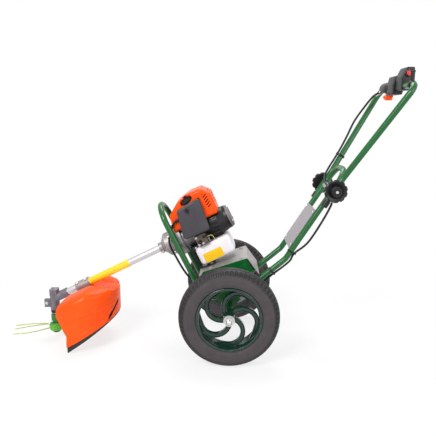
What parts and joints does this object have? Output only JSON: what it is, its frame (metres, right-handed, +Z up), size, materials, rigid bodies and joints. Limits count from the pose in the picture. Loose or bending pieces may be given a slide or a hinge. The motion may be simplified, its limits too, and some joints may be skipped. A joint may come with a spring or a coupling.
{
  "type": "wheeled string trimmer",
  "caption": "Two-wheeled walk-behind string trimmer: two-stroke engine, bevel-geared line head under an orange guard, green tube frame, folding handle with throttle and cable.",
  "frame": {"origin": "on the ground, under the middle of the bounding box", "axes": "+X rearwards towards the handle, +Y across to the far wheel, +Z up"},
  "size_m": [1.494, 0.5448, 1.0436],
  "materials": {
    "green_paint": "satin",
    "rim_green": "gloss",
    "tyre_rubber": "matte",
    "bright_steel": "polished",
    "turned_steel": "brushed",
    "zinc_sheet": "satin",
    "panel_silver": "satin",
    "cast_grey": "cast",
    "tube_silver": "satin",
    "bronze": "satin",
    "black_plastic": "matte",
    "black_steel": "satin",
    "filter_grey": "matte",
    "orange_plastic": "gloss",
    "tank_white": "satin",
    "plug_white": "gloss",
    "cable_black": "satin",
    "fuel_amber": "satin",
    "friction_brown": "matte",
    "head_green": "gloss",
    "line_green": "satin",
    "stop_red": "gloss"
  },
  "bodies": {
    "frame": {"front_hoop": "green_paint", "rear_hoop": "green_paint", "axle": "turned_steel", "axle_carrier": "green_paint", "axle_nuts": "bright_steel", "saddle_plate": "zinc_sheet", "name_panel": "panel_silver", "pivot_bolts": "bright_steel", "engine_bracket": "black_steel", "lower_cable": "cable_black", "cable_ties": "black_plastic", "clutch_housing": "cast_grey", "fan_housing": "black_plastic", "crankcase": "cast_grey", "cylinder_block": "cast_grey", "spark_plug": "plug_white", "engine_cover": "orange_plastic", "filter_base": "black_plastic", "filter_cover": "filter_grey", "carburettor": "cast_grey", "fuel_line": "fuel_amber", "muffler": "black_steel", "starter_housing": "black_plastic", "starter_cover": "cast_grey", "fuel_tank": "tank_white", "shaft_tube": "tube_silver", "shaft_bushes": "bronze", "guard_clamp": "black_plastic", "gear_case": "cast_grey", "guard": "orange_plastic", "guard_skirt": "black_plastic", "line_cutter": "bright_steel"},
    "left_wheel": {"left_tyre": "tyre_rubber", "left_rim": "rim_green"},
    "right_wheel": {"right_tyre": "tyre_rubber", "right_rim": "rim_green"},
    "handle": {"handle_bar": "green_paint", "handle_caps": "black_plastic", "throttle_housing": "black_plastic", "upper_cable": "cable_black"},
    "left_knob": {"left_knob": "black_plastic"},
    "right_knob": {"right_knob": "black_plastic"},
    "throttle_trigger": {"throttle_trigger": "orange_plastic"},
    "stop_switch": {"stop_switch": "stop_red"},
    "cutter_head": {"output_shaft": "turned_steel", "bevel_gear": "turned_steel", "line_head": "head_green", "trimmer_lines": "line_green"},
    "bump_knob": {"bump_knob": "black_plastic"},
    "drive_line": {"drive_shaft": "turned_steel", "bevel_pinion": "turned_steel", "clutch_drum": "turned_steel"},
    "crank": {"crankshaft": "turned_steel", "flywheel": "turned_steel", "clutch_shoes": "friction_brown"},
    "filter_screw": {"filter_screw": "black_plastic"},
    "primer_bulb": {"primer_bulb": "cable_black"},
    "choke_lever": {"choke_lever": "black_plastic"},
    "fuel_cap": {"fuel_cap": "black_plastic"},
    "starter_grip": {"starter_grip": "black_plastic"}
  },
  "joints": [
    {"name": "left_wheel_spin", "type": "hinge", "parent": "frame", "child": "left_wheel", "pos_m": [0.11097, -0.213, 0.18], "axis": [0, 1, 0], "continuous": true},
    {"name": "right_wheel_spin", "type": "hinge", "parent": "frame", "child": "right_wheel", "pos_m": [0.11097, 0.213, 0.18], "axis": [0, 1, 0], "continuous": true},
    {"name": "handle_fold", "type": "hinge", "parent": "frame", "child": "handle", "pos_m": [0.48592, 0, 0.61692], "axis": [0, -1, 0], "range_deg": [0, 100]},
    {"name": "left_knob_turn", "type": "hinge", "parent": "frame", "child": "left_knob", "pos_m": [0.48592, -0.1164, 0.61692], "axis": [0, -1, 0], "range_deg": [0, 720]},
    {"name": "right_knob_turn", "type": "hinge", "parent": "frame", "child": "right_knob", "pos_m": [0.48592, 0.1164, 0.61692], "axis": [0, 1, 0], "range_deg": [0, 720]},
    {"name": "throttle_pull", "type": "hinge", "parent": "handle", "child": "throttle_trigger", "pos_m": [0.71696, 0.067, 0.95958], "axis": [1, 0, 0], "range_deg": [0, 10], "stiffness_Nm_per_rad": 0.6, "springref_deg": -9.74},
    {"name": "stop_press", "type": "slide", "parent": "handle", "child": "stop_switch", "axis": [0, 1, 0], "range_m": [0, 0.004], "stiffness_N_per_m": 400, "springref_m": -0.002},
    {"name": "head_spin", "type": "hinge", "parent": "frame", "child": "cutter_head", "pos_m": [-0.58496, 0, 0.16677], "axis": [0, 0, 1], "continuous": true},
    {"name": "bump_press", "type": "slide", "parent": "cutter_head", "child": "bump_knob", "axis": [0, 0, 1], "range_m": [0, 0.007], "stiffness_N_per_m": 800, "springref_m": -0.002},
    {"name": "drive_spin", "type": "hinge", "parent": "frame", "child": "drive_line", "pos_m": [-0.58496, 0, 0.16677], "axis": [0.8988, 0, 0.4384], "continuous": true},
    {"name": "crank_spin", "type": "hinge", "parent": "frame", "child": "crank", "pos_m": [-0.02681, 0, 0.439], "axis": [0.8988, 0, 0.4384], "continuous": true},
    {"name": "filter_screw_turn", "type": "hinge", "parent": "frame", "child": "filter_screw", "pos_m": [-0.0446, -0.0941, 0.53936], "axis": [0, -1, 0], "range_deg": [0, 1080]},
    {"name": "primer_press", "type": "slide", "parent": "frame", "child": "primer_bulb", "axis": [0, 1, 0], "range_m": [0, 0.004], "stiffness_N_per_m": 300, "springref_m": -0.002},
    {"name": "choke_turn", "type": "hinge", "parent": "frame", "child": "choke_lever", "pos_m": [0.01611, -0.0705, 0.43768], "axis": [0, 1, 0], "range_deg": [0, 70]},
    {"name": "fuel_cap_turn", "type": "hinge", "parent": "frame", "child": "fuel_cap", "pos_m": [0.03785, 0.0564, 0.37107], "axis": [0, 1, 0], "range_deg": [0, 450]},
    {"name": "starter_pull", "type": "slide", "parent": "frame", "child": "starter_grip", "axis": [0, 1, 0], "range_m": [0, 0.8], "stiffness_N_per_m": 15, "springref_m": -0.4}
  ],
  "couplings": [
    {"joint": "drive_spin", "follows": "head_spin", "ratio": -1.3571}
  ]
}
